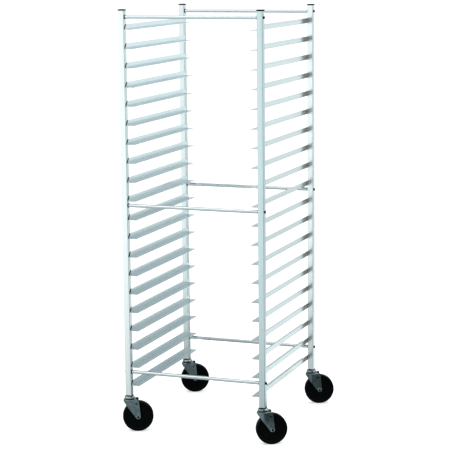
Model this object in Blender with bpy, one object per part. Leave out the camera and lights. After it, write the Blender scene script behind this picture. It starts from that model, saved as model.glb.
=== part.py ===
"""End-loading sheet pan rack: four square posts, twenty pairs of angle runners, six spreader
rods and four swivel casters.

Metres, +Z up. The front of the rack faces -Y, X runs across it, and the floor is z = 0. The
origin is on the floor, midway between the four wheels' points of contact: every caster trails
the same way, so the rack's own middle stands a little to the left of the origin and in front.
"""

import math

import bmesh
import bpy
from mathutils import Matrix, Vector

# Rack frame
LEVELS = 20
LEVEL_PITCH = 0.0762
LOWEST_LEDGE = 0.1944
RACK_WIDTH = 0.605
RACK_DEPTH = 0.660
GAP = 0.0003
HEX = 6

# Posts
POST_SIDE = 0.0254
POST_WALL = 0.002
POST_CORNER = 0.0012
POST_BOTTOM = 0.1524
POST_TOP = 1.7150
CAP_RIM = 0.0055
CAP_OVERHANG = 0.0004
CAP_PLUG = 0.012
SOCKET_DEPTH = 0.024

# Runners
RUNNER_THICKNESS = 0.002
RUNNER_SETBACK = 0.007
LEDGE_WIDTH = 0.034
LEG_HEIGHT = 0.022
LEG_CLIP = 0.014
LEG_FOOT = 0.001
LEDGE_CLIP = 0.005

# Spreader rods and the bolts through the posts into their ends
ROD_RADIUS = 0.00715
ROD_HEIGHTS = {"bottom": 0.2503, "middle": 0.9383, "top": 1.6904}
ROD_SEGMENTS = 10
BOLT_RADIUS = 0.0040
BOLT_CLEARANCE = 0.0004
BOLT_HEAD_RADIUS = 0.0056
BOLT_HEAD_RISE = 0.0055
BOLT_HEAD_RIM = 0.0017
DOME_STEPS = 3

# Casters
TRAIL = 0.034
REST_SWIVEL = math.radians(24)
FRONT_RIGHT_TURN = math.radians(6)
WHEEL_RADIUS = 0.0635
WHEEL_SEGMENTS = 28
TREAD_HALF_WIDTH = 0.016
WEB_HALF_WIDTH = 0.0115
HUB_HALF_WIDTH = 0.0172
HUB_RADIUS = 0.015
HUB_FILLET = 0.002
WEB_OUTER_RADIUS = 0.050
SHOULDER = 0.0035
AXLE_RADIUS = 0.006
AXLE_SEGMENTS = 16
AXLE_CLEARANCE = 0.0004
AXLE_HEAD_RADIUS = 0.0085
AXLE_HEAD_RISE = 0.0055
AXLE_HEIGHT = WHEEL_RADIUS * math.cos(math.pi / WHEEL_SEGMENTS)

FORK_PLATE = 0.003
FORK_INNER = 0.0182
FORK_END_RADIUS = 0.010
FORK_END_SEGMENTS = 16
CROWN_BOTTOM = 0.1329
CROWN_RADIUS = 0.0255
CROWN_FRONT = 0.0205
CROWN_BACK = 0.036
CROWN_PLATE_BACK = 0.028
RACE_TOP = 0.1424
RACE_OUTER = 0.0210
RACE_INNER = 0.0120
RACE_GAP = 0.0005
RACE_SEGMENTS = 16
STOP_HOLE_RADIUS = 0.0035
STOP_HOLE_SEGMENTS = 10
STOP_HOLE = (0.027, 0.1175)
LUG_HALF_WIDTH = 0.004
LUG_RISE = 0.007

KINGPIN_RADIUS = 0.0055
KINGPIN_CLEARANCE = 0.0006
KINGPIN_HEAD_RADIUS = 0.009
KINGPIN_HEAD_BOTTOM = 0.1289
KINGPIN_HEAD_TOP = 0.1319
UPPER_RACE_SHOULDER = 0.016
UPPER_RACE_CHAMFER = 0.0035
COLLAR_TOP = 0.1494
COLLAR_RADIUS = 0.0172

# Derived places
POST_X = (RACK_WIDTH - POST_SIDE) / 2
POST_Y = (RACK_DEPTH - POST_SIDE) / 2
INNER_FACE = RACK_WIDTH / 2 - POST_SIDE
LEDGE_HEIGHTS = [LOWEST_LEDGE + LEVEL_PITCH * (LEVELS - 1 - i) for i in range(LEVELS)]
RACK_MIDDLE = Vector((-TRAIL * math.cos(REST_SWIVEL), -TRAIL * math.sin(REST_SWIVEL), 0))
CORNERS = {
    "front_left": (-POST_X, -POST_Y),
    "front_right": (POST_X, -POST_Y),
    "rear_left": (-POST_X, POST_Y),
    "rear_right": (POST_X, POST_Y),
}

Z_AXIS = Vector((0, 0, 1))


def clear_scene():
    for obj in list(bpy.data.objects):
        bpy.data.objects.remove(obj, do_unlink=True)


def principled(name, colour, roughness, metallic):
    """A plain material: colour, roughness and metallic value on the Principled shader."""
    material = bpy.data.materials.new(name)
    material.use_nodes = True
    shader = material.node_tree.nodes["Principled BSDF"]
    shader.inputs["Base Color"].default_value = (*colour, 1)
    shader.inputs["Roughness"].default_value = roughness
    shader.inputs["Metallic"].default_value = metallic
    material.diffuse_color = (*colour, 1)
    return material


def box(low, high):
    """A block between two opposite corners."""
    bm = bmesh.new()
    low, high = Vector(low), Vector(high)
    bmesh.ops.create_cube(bm, size=1, matrix=Matrix.LocRotScale((low + high) / 2, None, high - low))
    return bm


def cylinder(radius, start, end, segments):
    """A solid round bar, or a prism with few segments, between two points."""
    bm = bmesh.new()
    start, end = Vector(start), Vector(end)
    turn = Z_AXIS.rotation_difference(end - start).to_matrix().to_4x4()
    bmesh.ops.create_cone(
        bm, cap_ends=True, segments=segments, radius1=radius, radius2=radius,
        depth=(end - start).length, matrix=Matrix.Translation((start + end) / 2) @ turn,
    )
    return bm


def turned(profile, segments, closed):
    """Turns (radius, height) points about Z. A closed profile makes a ring, an open one runs
    from the axis back to the axis."""
    bm = bmesh.new()
    points = [bm.verts.new((radius, 0, height)) for radius, height in profile]
    edges = [bm.edges.new(pair) for pair in zip(points, points[1:])]
    if closed:
        edges.append(bm.edges.new((points[-1], points[0])))
    bmesh.ops.spin(
        bm, geom=points + edges, cent=(0, 0, 0), axis=Z_AXIS, angle=math.tau,
        steps=segments, use_merge=True,
    )
    bmesh.ops.remove_doubles(bm, verts=bm.verts, dist=1e-6)
    bmesh.ops.recalc_face_normals(bm, faces=bm.faces)
    return bm


def mesh_of(name, bm):
    mesh = bpy.data.meshes.new(name)
    bm.to_mesh(mesh)
    bm.free()
    return mesh


def add_object(name, data=None):
    obj = bpy.data.objects.new(name, data)
    bpy.context.collection.objects.link(obj)
    return obj


def fused(name, base, additions=(), cuts=()):
    """One mesh: the base with the additions joined to it and then the cuts taken away."""
    body = add_object(name, mesh_of(name, base))
    tools = []
    for operation, shapes in (("UNION", additions), ("DIFFERENCE", cuts)):
        for shape in shapes:
            tool = add_object(f"{name}_tool", mesh_of(f"{name}_tool", shape))
            tools.append(tool)
            modifier = body.modifiers.new(operation.title(), "BOOLEAN")
            modifier.operation = operation
            modifier.solver = "EXACT"
            modifier.object = tool
    graph = bpy.context.evaluated_depsgraph_get()
    mesh = bpy.data.meshes.new_from_object(body.evaluated_get(graph))
    for obj in [body, *tools]:
        bpy.data.objects.remove(obj, do_unlink=True)
    mesh.name = name
    return mesh


def place(name, mesh, material, parent, location=(0, 0, 0), turn=0.0):
    """Puts a mesh in the scene as a named piece, standing at location and turned about Z."""
    if not mesh.materials:
        mesh.materials.append(material)
    mesh.shade_smooth()
    mesh.set_sharp_from_angle(angle=math.radians(35))
    obj = add_object(name, mesh)
    obj.parent = parent
    obj.location = location
    obj.rotation_euler = (0, 0, turn)
    return obj


def post_mesh():
    """A square tube about its own Z axis, joined with its top cap and with the caster's fixed
    collar, upper race and kingpin. The rods' bolts pass through clearance holes in it."""
    half = POST_SIDE / 2
    tube = box((-half, -half, POST_BOTTOM), (half, half, POST_TOP))
    uprights = [e for e in tube.edges if abs((e.verts[0].co - e.verts[1].co).z) > POST_SIDE]
    bmesh.ops.bevel(
        tube, geom=uprights, offset=POST_CORNER, offset_type="OFFSET", segments=1,
        profile=0.5, affect="EDGES", material=-1,
    )
    rim = half + CAP_OVERHANG
    cap = box((-rim, -rim, POST_TOP - 2 * GAP), (rim, rim, POST_TOP + CAP_RIM))
    collar = cylinder(COLLAR_RADIUS, (0, 0, COLLAR_TOP - GAP), (0, 0, POST_BOTTOM + GAP), HEX)
    race_bottom = RACE_TOP + RACE_GAP
    pivot = turned(
        [
            (0, KINGPIN_HEAD_BOTTOM),
            (KINGPIN_HEAD_RADIUS, KINGPIN_HEAD_BOTTOM),
            (KINGPIN_HEAD_RADIUS, KINGPIN_HEAD_TOP),
            (KINGPIN_RADIUS, KINGPIN_HEAD_TOP),
            (KINGPIN_RADIUS, race_bottom),
            (RACE_OUTER, race_bottom),
            (RACE_OUTER, COLLAR_TOP - UPPER_RACE_CHAMFER),
            (UPPER_RACE_SHOULDER, COLLAR_TOP),
            (0, COLLAR_TOP),
        ],
        RACE_SEGMENTS,
        closed=False,
    )
    hollow = half - POST_WALL
    cavity = box(
        (-hollow, -hollow, POST_BOTTOM + SOCKET_DEPTH), (hollow, hollow, POST_TOP - CAP_PLUG)
    )
    holes = [
        cylinder(BOLT_RADIUS + BOLT_CLEARANCE, (-POST_SIDE, 0, z), (POST_SIDE, 0, z), ROD_SEGMENTS)
        for z in ROD_HEIGHTS.values()
    ]
    return fused("post", tube, [cap, collar, pivot], [cavity, *holes])


def runner_mesh():
    """A right-hand angle runner along Y: a standing leg against the posts at x = 0 and a ledge
    that reaches towards -X. The leg's top corners and the ledge's free corners are cut off."""
    half_length = RACK_DEPTH / 2 - RUNNER_SETBACK
    outline = [
        (-GAP, -RUNNER_THICKNESS),
        (-GAP, LEG_HEIGHT - RUNNER_THICKNESS),
        (-GAP - RUNNER_THICKNESS, LEG_HEIGHT - RUNNER_THICKNESS),
        (-GAP - RUNNER_THICKNESS, 0),
        (-LEDGE_WIDTH, 0),
        (-LEDGE_WIDTH, -RUNNER_THICKNESS),
    ]
    bm = bmesh.new()
    section = bm.faces.new([bm.verts.new((x, -half_length, z)) for x, z in outline])
    grown = bmesh.ops.extrude_face_region(bm, geom=[section])["geom"]
    moved = [v for v in grown if isinstance(v, bmesh.types.BMVert)]
    bmesh.ops.translate(bm, verts=moved, vec=(0, 2 * half_length, 0))
    bmesh.ops.recalc_face_normals(bm, faces=bm.faces)
    clip_rise = LEG_HEIGHT - RUNNER_THICKNESS - LEG_FOOT
    for end in (-1, 1):
        y = end * half_length
        for point, normal in (
            ((0, y, LEG_FOOT), (0, end * clip_rise, LEG_CLIP)),
            ((-LEDGE_WIDTH, y - end * LEDGE_CLIP, 0), (-1, end, 0)),
        ):
            cut = bmesh.ops.bisect_plane(
                bm, geom=bm.verts[:] + bm.edges[:] + bm.faces[:], dist=1e-7,
                plane_co=point, plane_no=normal, clear_outer=True,
            )["geom_cut"]
            rim = [e for e in cut if isinstance(e, bmesh.types.BMEdge)]
            bmesh.ops.edgeloop_fill(bm, edges=rim)
    bmesh.ops.recalc_face_normals(bm, faces=bm.faces)
    return mesh_of("right_runner", bm)


def mirrored(name, mesh):
    """The same shape seen in the mirror plane x = 0."""
    bm = bmesh.new()
    bm.from_mesh(mesh)
    bmesh.ops.scale(bm, vec=(-1, 1, 1), verts=bm.verts)
    bmesh.ops.reverse_faces(bm, faces=bm.faces)
    return mesh_of(name, bm)


def rod_mesh():
    """A spreader rod across the rack along X, joined with the domed bolt in each of its ends."""
    outside = RACK_WIDTH / 2 + GAP
    rod_end = INNER_FACE - GAP
    dome_rise = BOLT_HEAD_RISE - BOLT_HEAD_RIM
    dome = [
        (
            BOLT_HEAD_RADIUS * math.cos(math.pi / 2 * step / DOME_STEPS),
            outside + BOLT_HEAD_RIM + dome_rise * math.sin(math.pi / 2 * step / DOME_STEPS),
        )
        for step in range(DOME_STEPS)
    ]
    half = [
        (ROD_RADIUS, rod_end),
        (BOLT_RADIUS, rod_end),
        (BOLT_RADIUS, outside),
        (BOLT_HEAD_RADIUS, outside),
        *dome,
        (0, outside + BOLT_HEAD_RISE),
    ]
    bm = turned([(r, -h) for r, h in reversed(half)] + half, ROD_SEGMENTS, closed=False)
    bmesh.ops.rotate(bm, verts=bm.verts, cent=(0, 0, 0), matrix=Matrix.Rotation(math.pi / 2, 3, "Y"))
    return mesh_of("rod", bm)


def fork_leg(side):
    """One side plate of the fork: broad under the crown, narrowing to a round end at the axle."""
    inner, outer = side * FORK_INNER, side * (FORK_INNER + FORK_PLATE)
    bm = cylinder(
        FORK_END_RADIUS, (TRAIL, inner, AXLE_HEIGHT), (TRAIL, outer, AXLE_HEIGHT), FORK_END_SEGMENTS
    )
    bmesh.ops.delete(bm, geom=bm.edges[:] + bm.faces[:], context="EDGES_FACES")
    for x in (-CROWN_FRONT, CROWN_BACK):
        for y in (inner, outer):
            for z in (CROWN_BOTTOM, CROWN_BOTTOM + FORK_PLATE):
                bm.verts.new((x, y, z))
    bmesh.ops.convex_hull(bm, input=bm.verts)
    spare = [v for v in bm.verts if not v.link_faces]
    bmesh.ops.delete(bm, geom=spare, context="VERTS")
    bmesh.ops.recalc_face_normals(bm, faces=bm.faces)
    return bm


def fork_mesh():
    """The swivelling fork about the kingpin's axis, trailing towards +X, joined with its axle."""
    bore = KINGPIN_RADIUS + KINGPIN_CLEARANCE
    crown_top = CROWN_BOTTOM + FORK_PLATE
    crown = turned(
        [
            (bore, CROWN_BOTTOM),
            (CROWN_RADIUS, CROWN_BOTTOM),
            (CROWN_RADIUS, crown_top),
            (RACE_OUTER, RACE_TOP),
            (RACE_INNER, RACE_TOP),
            (RACE_INNER, crown_top),
            (bore, crown_top),
        ],
        RACE_SEGMENTS,
        closed=True,
    )
    outer = FORK_INNER + FORK_PLATE
    plates = [
        box((RACE_INNER, -outer, CROWN_BOTTOM), (CROWN_PLATE_BACK, outer, crown_top)),
        box(
            (CROWN_PLATE_BACK - FORK_PLATE, -LUG_HALF_WIDTH, CROWN_BOTTOM + GAP),
            (CROWN_PLATE_BACK, LUG_HALF_WIDTH, crown_top + LUG_RISE),
        ),
    ]
    axle_end = outer + AXLE_HEAD_RISE
    axle = cylinder(AXLE_RADIUS, (TRAIL, -outer, AXLE_HEIGHT), (TRAIL, outer, AXLE_HEIGHT), AXLE_SEGMENTS)
    heads = [
        cylinder(
            AXLE_HEAD_RADIUS, (TRAIL, side * (outer - GAP), AXLE_HEIGHT),
            (TRAIL, side * axle_end, AXLE_HEIGHT), HEX,
        )
        for side in (-1, 1)
    ]
    hole_x, hole_z = STOP_HOLE
    stop_hole = cylinder(
        STOP_HOLE_RADIUS, (hole_x, -2 * outer, hole_z), (hole_x, 2 * outer, hole_z),
        STOP_HOLE_SEGMENTS,
    )
    sides = [fork_leg(side) for side in (-1, 1)]
    return fused("fork", crown, [*plates, *sides, axle, *heads], [stop_hole])


def wheel_mesh():
    """A solid wheel turned about Y, with a thinner web between its hub and its tread. A flat
    of its rim faces straight down."""
    bore = AXLE_RADIUS + AXLE_CLEARANCE
    half = [
        (bore, HUB_HALF_WIDTH),
        (HUB_RADIUS, HUB_HALF_WIDTH),
        (HUB_RADIUS + HUB_FILLET, WEB_HALF_WIDTH),
        (WEB_OUTER_RADIUS, WEB_HALF_WIDTH),
        (WEB_OUTER_RADIUS + SHOULDER, TREAD_HALF_WIDTH),
        (WHEEL_RADIUS - SHOULDER, TREAD_HALF_WIDTH),
        (WHEEL_RADIUS, TREAD_HALF_WIDTH - SHOULDER),
    ]
    bm = turned(half + [(r, -h) for r, h in reversed(half)], WHEEL_SEGMENTS, closed=True)
    bmesh.ops.rotate(bm, verts=bm.verts, cent=(0, 0, 0), matrix=Matrix.Rotation(math.pi / 2, 3, "X"))
    flat_down = Matrix.Rotation(math.pi / WHEEL_SEGMENTS, 3, "Y")
    bmesh.ops.rotate(bm, verts=bm.verts, cent=(0, 0, 0), matrix=flat_down)
    return mesh_of("wheel", bm)


def build_posts(rack, aluminium):
    mesh = post_mesh()
    for corner, (x, y) in CORNERS.items():
        place(f"post_{corner}", mesh, aluminium, rack, (x, y, 0))


def build_runners(rack, aluminium):
    right = runner_mesh()
    left = mirrored("left_runner", right)
    for number, z in enumerate(LEDGE_HEIGHTS, start=1):
        place(f"right_runner_{number:02d}", right, aluminium, rack, (INNER_FACE, 0, z))
        place(f"left_runner_{number:02d}", left, aluminium, rack, (-INNER_FACE, 0, z))


def build_rods(rack, aluminium):
    mesh = rod_mesh()
    for level, z in ROD_HEIGHTS.items():
        for end, y in (("front", -POST_Y), ("rear", POST_Y)):
            place(f"{level}_{end}_rod", mesh, aluminium, rack, (0, y, z))


def build_casters(rack, steel, rubber):
    fork, wheel = fork_mesh(), wheel_mesh()
    for corner, (x, y) in CORNERS.items():
        turn = REST_SWIVEL + (FRONT_RIGHT_TURN if corner == "front_right" else 0)
        swivel = place(f"caster_fork_{corner}", fork, steel, rack, (x, y, 0), turn)
        place(f"caster_wheel_{corner}", wheel, rubber, swivel, (TRAIL, 0, AXLE_HEIGHT))


def main():
    clear_scene()
    aluminium = principled("aluminium", (0.78, 0.80, 0.80), 0.34, 1.0)
    steel = principled("zinc_steel", (0.42, 0.45, 0.46), 0.38, 1.0)
    rubber = principled("black_rubber", (0.012, 0.012, 0.013), 0.55, 0.0)
    rack = add_object("rack_middle")
    rack.location = RACK_MIDDLE
    build_posts(rack, aluminium)
    build_runners(rack, aluminium)
    build_rods(rack, aluminium)
    build_casters(rack, steel, rubber)


main()
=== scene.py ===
"""Looks of an end-loading sheet pan rack: four square tube posts, twenty pairs of angle runners,
six spreader rods and four swivel casters with pressed forks.

Metres, +Z up, the rack's front towards -Y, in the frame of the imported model. Every place comes
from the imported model; this file adds the shapes and finishes that the plain solids leave out.
"""

import logging
import math
from dataclasses import dataclass
from enum import Enum
from functools import cache
from typing import Any, Iterable, Sequence

import bmesh
import bpy
from bmesh.types import BMEdge, BMesh, BMVert
from bpy.types import Node, NodeSocket, NodeTree
from mathutils import Matrix, Vector


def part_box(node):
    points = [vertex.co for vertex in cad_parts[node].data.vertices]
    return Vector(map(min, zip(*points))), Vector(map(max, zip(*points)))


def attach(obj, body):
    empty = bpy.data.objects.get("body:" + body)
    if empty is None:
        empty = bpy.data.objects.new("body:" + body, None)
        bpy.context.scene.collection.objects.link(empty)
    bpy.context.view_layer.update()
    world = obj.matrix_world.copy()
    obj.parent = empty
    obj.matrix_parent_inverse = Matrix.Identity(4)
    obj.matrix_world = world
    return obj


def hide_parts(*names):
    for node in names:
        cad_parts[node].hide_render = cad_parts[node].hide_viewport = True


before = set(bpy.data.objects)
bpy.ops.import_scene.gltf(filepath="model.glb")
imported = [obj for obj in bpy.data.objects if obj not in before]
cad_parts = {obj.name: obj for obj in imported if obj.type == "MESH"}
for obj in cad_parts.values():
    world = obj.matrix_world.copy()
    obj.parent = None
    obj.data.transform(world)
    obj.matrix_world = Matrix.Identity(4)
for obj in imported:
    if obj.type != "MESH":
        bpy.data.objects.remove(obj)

LOG = logging.getLogger("sheet_pan_rack")
RACK = "rack_frame"
MERGE = 1e-6
SMOOTH_ANGLE = math.radians(32)
BROKEN_EDGE = 0.0004
HALF_PI = math.pi / 2
ONTO_Y = Matrix.Rotation(HALF_PI, 4, "X")

Colour = tuple[float, float, float]
Span = tuple[float, float]
Paint = dict[str, Any]

BLACK: Colour = (0.0, 0.0, 0.0)
NOISE_HEIGHTS: Span = (0.3, 0.7)
# The room has one dark side: where it lies from the rack, and where its edge starts and ends.
DARK_AZIMUTH = math.radians(-58)
DARK_WAY: Colour = (math.cos(DARK_AZIMUTH), math.sin(DARK_AZIMUTH), 0.0)
DARK_EDGE: Span = (0.88, 0.94)


class Slot(Enum):
    """The record's material slots."""

    ALUMINIUM = "aluminium"
    STEEL = "zinc_steel"
    RUBBER = "black_rubber"
    PLASTIC = "black_plastic"
    BOLT = "black_bolt"


class Corner(Enum):
    """The rack's four corners, named as its posts are."""

    FRONT_LEFT = "front_left"
    FRONT_RIGHT = "front_right"
    REAR_LEFT = "rear_left"
    REAR_RIGHT = "rear_right"

    @property
    def inward(self) -> int:
        """+1 where the rack's inside is towards +X, else -1."""
        return 1 if "left" in self.value else -1


class Grain(Enum):
    """Which way a metal's drawing lines run: the pattern's scale along X, Y and Z."""

    ALONG_X = (2.5, 700.0, 700.0)
    ALONG_Y = (700.0, 2.5, 700.0)
    ALONG_Z = (700.0, 700.0, 2.5)


class Cut(Enum):
    """How one solid changes another."""

    JOIN = "UNION"
    AWAY = "DIFFERENCE"
    KEEP = "INTERSECT"


# Mesh tools


def box_centre(node: str) -> Vector:
    """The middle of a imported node's box."""
    low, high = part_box(node)
    return (Vector(low) + Vector(high)) / 2


def block(low: Sequence[float], high: Sequence[float]) -> BMesh:
    """A block between two opposite corners.

    Args:
        low: Its lowest corner.
        high: Its highest corner.

    Returns:
        The block, as a new bmesh.
    """
    bm = bmesh.new()
    low, high = Vector(low), Vector(high)
    bmesh.ops.create_cube(bm, size=1, matrix=Matrix.LocRotScale((low + high) / 2, None, high - low))
    return bm


def bar(radius: float, start: Sequence[float], end: Sequence[float], sides: int) -> BMesh:
    """A solid bar between two points.

    Args:
        radius: Its radius, to the corners of its section.
        start: The middle of one end.
        end: The middle of the other end.
        sides: How many sides its section has.

    Returns:
        The bar, as a new bmesh.
    """
    bm = bmesh.new()
    start, end = Vector(start), Vector(end)
    turn = Vector((0, 0, 1)).rotation_difference(end - start).to_matrix().to_4x4()
    bmesh.ops.create_cone(
        bm, cap_ends=True, segments=sides, radius1=radius, radius2=radius,
        depth=(end - start).length, matrix=Matrix.Translation((start + end) / 2) @ turn,
    )
    return bm


def turned(profile: Iterable[Span], sides: int, closed: bool = False) -> BMesh:
    """Turns (radius, height) points about Z, as on a lathe.

    Args:
        profile: The points, from the axis back to the axis, or all round a ring's section.
        sides: How many steps a full turn takes.
        closed: True for a ring's section.

    Returns:
        The turned shape, as a new bmesh.
    """
    bm = bmesh.new()
    points = [bm.verts.new((radius, 0, height)) for radius, height in profile]
    edges = [bm.edges.new(pair) for pair in zip(points, points[1:])]
    if closed:
        edges.append(bm.edges.new((points[-1], points[0])))
    bmesh.ops.spin(
        bm, geom=points + edges, cent=(0, 0, 0), axis=(0, 0, 1), angle=math.tau,
        steps=sides, use_merge=True,
    )
    tidy(bm)
    return bm


def tidy(bm: BMesh) -> None:
    """Merges doubled points and turns every face outwards."""
    bmesh.ops.remove_doubles(bm, verts=bm.verts, dist=MERGE)
    bmesh.ops.recalc_face_normals(bm, faces=bm.faces)


def sharp_edges(bm: BMesh, degrees: float = 30) -> list[BMEdge]:
    """The edges where two faces meet at more than this angle."""
    least = math.radians(degrees)
    return [e for e in bm.edges if len(e.link_faces) == 2 and e.calc_face_angle(0) > least]


def round_edges(
    bm: BMesh, edges: Iterable[BMEdge], radius: float, steps: int
) -> None:
    """Rounds the given edges.

    Args:
        bm: The shape.
        edges: The edges to round.
        radius: How far the rounding reaches from each edge.
        steps: How many faces the rounding has across it.
    """
    bmesh.ops.bevel(
        bm, geom=list(edges), offset=radius, offset_type="OFFSET", segments=steps, profile=0.5,
        affect="EDGES", material=-1, clamp_overlap=True,
    )


def softened(bm: BMesh, radius: float) -> BMesh:
    """Breaks a shape's sharp edges with two narrow faces each, and gives the shape back."""
    round_edges(bm, sharp_edges(bm), radius, 2)
    return bm


def edges_above(bm: BMesh, height: float, upright: bool = False) -> list[BMEdge]:
    """The edges that lie wholly above a height, or only the ones of them that climb."""
    above = [e for e in bm.edges if all(v.co.z > height for v in e.verts)]
    climbs = [abs(e.verts[0].co.z - e.verts[1].co.z) > MERGE for e in above]
    return [e for e, climb in zip(above, climbs) if climb or not upright]


def moved(bm: BMesh, matrix: Matrix) -> BMesh:
    """A transformed copy of a shape.

    Args:
        bm: The shape, which stays as it is.
        matrix: Where its copy goes.

    Returns:
        The copy, facing outwards even where the matrix mirrors it.
    """
    copy = bm.copy()
    bmesh.ops.transform(copy, matrix=matrix, verts=copy.verts)
    if matrix.determinant() < 0:
        bmesh.ops.reverse_faces(copy, faces=copy.faces)
    return copy


def gathered(shapes: Iterable[BMesh]) -> BMesh:
    """Several shapes as one mesh.

    Args:
        shapes: The shapes, which are used up.

    Returns:
        One bmesh that holds them all.
    """
    whole = bmesh.new()
    for shape in shapes:
        passing = bpy.data.meshes.new("passing")
        shape.to_mesh(passing)
        shape.free()
        whole.from_mesh(passing)
        bpy.data.meshes.remove(passing)
    return whole


def worked(
    base: BMesh, steps: Sequence[tuple[Cut, BMesh]]
) -> BMesh:
    """Joins solids to a solid, or cuts them from it, one after another.

    Args:
        base: The solid to start from, which is used up.
        steps: How each tool changes it, and the tool, which is used up.

    Returns:
        The result, as a new bmesh.
    """
    objects = []
    for shape in (base, *(tool for _, tool in steps)):
        mesh = bpy.data.meshes.new("tool")
        shape.to_mesh(mesh)
        shape.free()
        objects.append(bpy.data.objects.new("tool", mesh))
        bpy.context.scene.collection.objects.link(objects[-1])
    for (way, _), tool in zip(steps, objects[1:]):
        modifier = objects[0].modifiers.new(way.value, "BOOLEAN")
        modifier.operation, modifier.solver, modifier.object = way.value, "EXACT", tool
        modifier.use_self = True
    result = bmesh.new()
    result.from_object(objects[0], bpy.context.evaluated_depsgraph_get())
    for obj in objects:
        mesh = obj.data
        bpy.data.objects.remove(obj, do_unlink=True)
        bpy.data.meshes.remove(mesh)
    tidy(result)
    return result


def piece(
    name: str, bm: BMesh, finish: "Finish", body: str, stands_for: Sequence[str] = ()
) -> bpy.types.Object:
    """Makes a finished piece of the rack.

    Args:
        name: The piece's name.
        bm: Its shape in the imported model's frame, which is used up.
        finish: Its finish.
        body: The CAD body it rides on.
        stands_for: The CAD nodes it takes the place of.

    Returns:
        The new object.
    """
    mesh = bpy.data.meshes.new(name)
    bm.to_mesh(mesh)
    bm.free()
    mesh.materials.append(finish.material())
    mesh.shade_smooth()
    mesh.set_sharp_from_angle(angle=SMOOTH_ANGLE)
    obj = bpy.data.objects.new(name, mesh)
    bpy.context.scene.collection.objects.link(obj)
    flats = obj.modifiers.new("flat_faces_stay_flat", "WEIGHTED_NORMAL")
    flats.keep_sharp = True
    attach(obj, body)
    if stands_for:
        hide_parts(*stands_for)
    LOG.info("%s: %d faces on %s", name, len(mesh.polygons), body)
    return obj


# Shader tools


class Wiring:
    """Adds the nodes of one shader tree and joins them."""

    def __init__(self, tree: NodeTree) -> None:
        """Keeps the tree to work on."""
        self.tree = tree

    def feed(self, node: Node, inputs: dict[Any, Any]) -> Node:
        """Gives a node's inputs what they take.

        Args:
            node: The node.
            inputs: A constant or an output socket for each named or numbered input.

        Returns:
            The same node.
        """
        for key, value in inputs.items():
            if isinstance(value, NodeSocket):
                self.tree.links.new(value, node.inputs[key])
            else:
                node.inputs[key].default_value = value
        return node

    def node(self, kind: str, inputs: dict[Any, Any] | None = None, **settings: Any) -> Node:
        """Adds a node.

        Args:
            kind: The node's type, without its leading "ShaderNode".
            inputs: What its inputs take; see feed.
            **settings: The node's own properties.

        Returns:
            The new node.
        """
        node = self.tree.nodes.new(f"ShaderNode{kind}")
        for key, value in settings.items():
            setattr(node, key, value)
        return self.feed(node, inputs or {})

    def maths(self, operation: str, a: Any, b: Any = 0.0, clamp: bool = True) -> NodeSocket:
        """One sum of two values, by the Math node's name for it."""
        return self.node("Math", {0: a, 1: b}, operation=operation, use_clamp=clamp).outputs[0]

    def times(self, a: Any, b: Any) -> NodeSocket:
        """The product of two values, held from 0 to 1."""
        return self.maths("MULTIPLY", a, b)

    def vector(self, operation: str, *values: Any) -> NodeSocket:
        """One sum of vectors, by the Vector Math node's name for it."""
        result = "Value" if operation in ("LENGTH", "DOT_PRODUCT") else "Vector"
        return self.node("VectorMath", dict(enumerate(values)), operation=operation).outputs[result]

    def axis(self, vector: NodeSocket, name: str) -> NodeSocket:
        """A vector's X, Y or Z."""
        return self.node("SeparateXYZ", {0: vector}).outputs[name]

    def facing(self, name: str) -> NodeSocket:
        """How far the surface faces along X, Y or Z."""
        return self.axis(self.node("NewGeometry").outputs["Normal"], name)

    def spread(self, value: NodeSocket, before: Span, after: Span) -> NodeSocket:
        """Maps a value from one range to another and holds it inside.

        Args:
            value: The value.
            before: The range it is mapped from.
            after: The range it is mapped to.

        Returns:
            The mapped value's socket.
        """
        inputs = {"Value": value, 1: before[0], 2: before[1], 3: after[0], 4: after[1]}
        return self.node("MapRange", inputs, clamp=True).outputs["Result"]

    def blend(self, share: Any, a: Any, b: Any) -> NodeSocket:
        """Mixes two colours.

        Args:
            share: How much of the second shows, from 0 to 1.
            a: The first colour or its socket.
            b: The second colour or its socket.

        Returns:
            The mixed colour's socket.
        """
        first, second = (c if isinstance(c, NodeSocket) else (*c, 1.0) for c in (a, b))
        return self.node("Mix", {0: share, 6: first, 7: second}, data_type="RGBA").outputs[2]

    def noise(self, vector: NodeSocket, scale: Any, **inputs: float) -> NodeSocket:
        """Soft noise over a vector, around one half; the Noise Texture's inputs shape it."""
        return self.node("TexNoise", {"Vector": vector, "Scale": scale, **inputs}).outputs[0]

    def bump(self, height: NodeSocket, strength: float, depth: float) -> NodeSocket:
        """The normal of a surface with relief, whose depth is in metres."""
        relief = {"Height": height, "Strength": strength, "Distance": depth}
        return self.node("Bump", relief).outputs["Normal"]

    def smudged(self, place: NodeSocket, scale: float, least: float, most: float) -> NodeSocket:
        """The mask of the shared smudges, which start and are full at two heights of its noise."""
        inputs = {"Vector": place, "Scale": scale, "From": least, "To": most}
        return self.node("Group", inputs, node_tree=smudges()).outputs["Mask"]

    def scratched(self, place: NodeSocket, scale: float, least: float) -> NodeSocket:
        """The mask of the shared scratches, which start at one height of its noise."""
        inputs = {"Vector": place, "Scale": scale, "From": least}
        return self.node("Group", inputs, node_tree=scratches()).outputs["Mask"]


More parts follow.
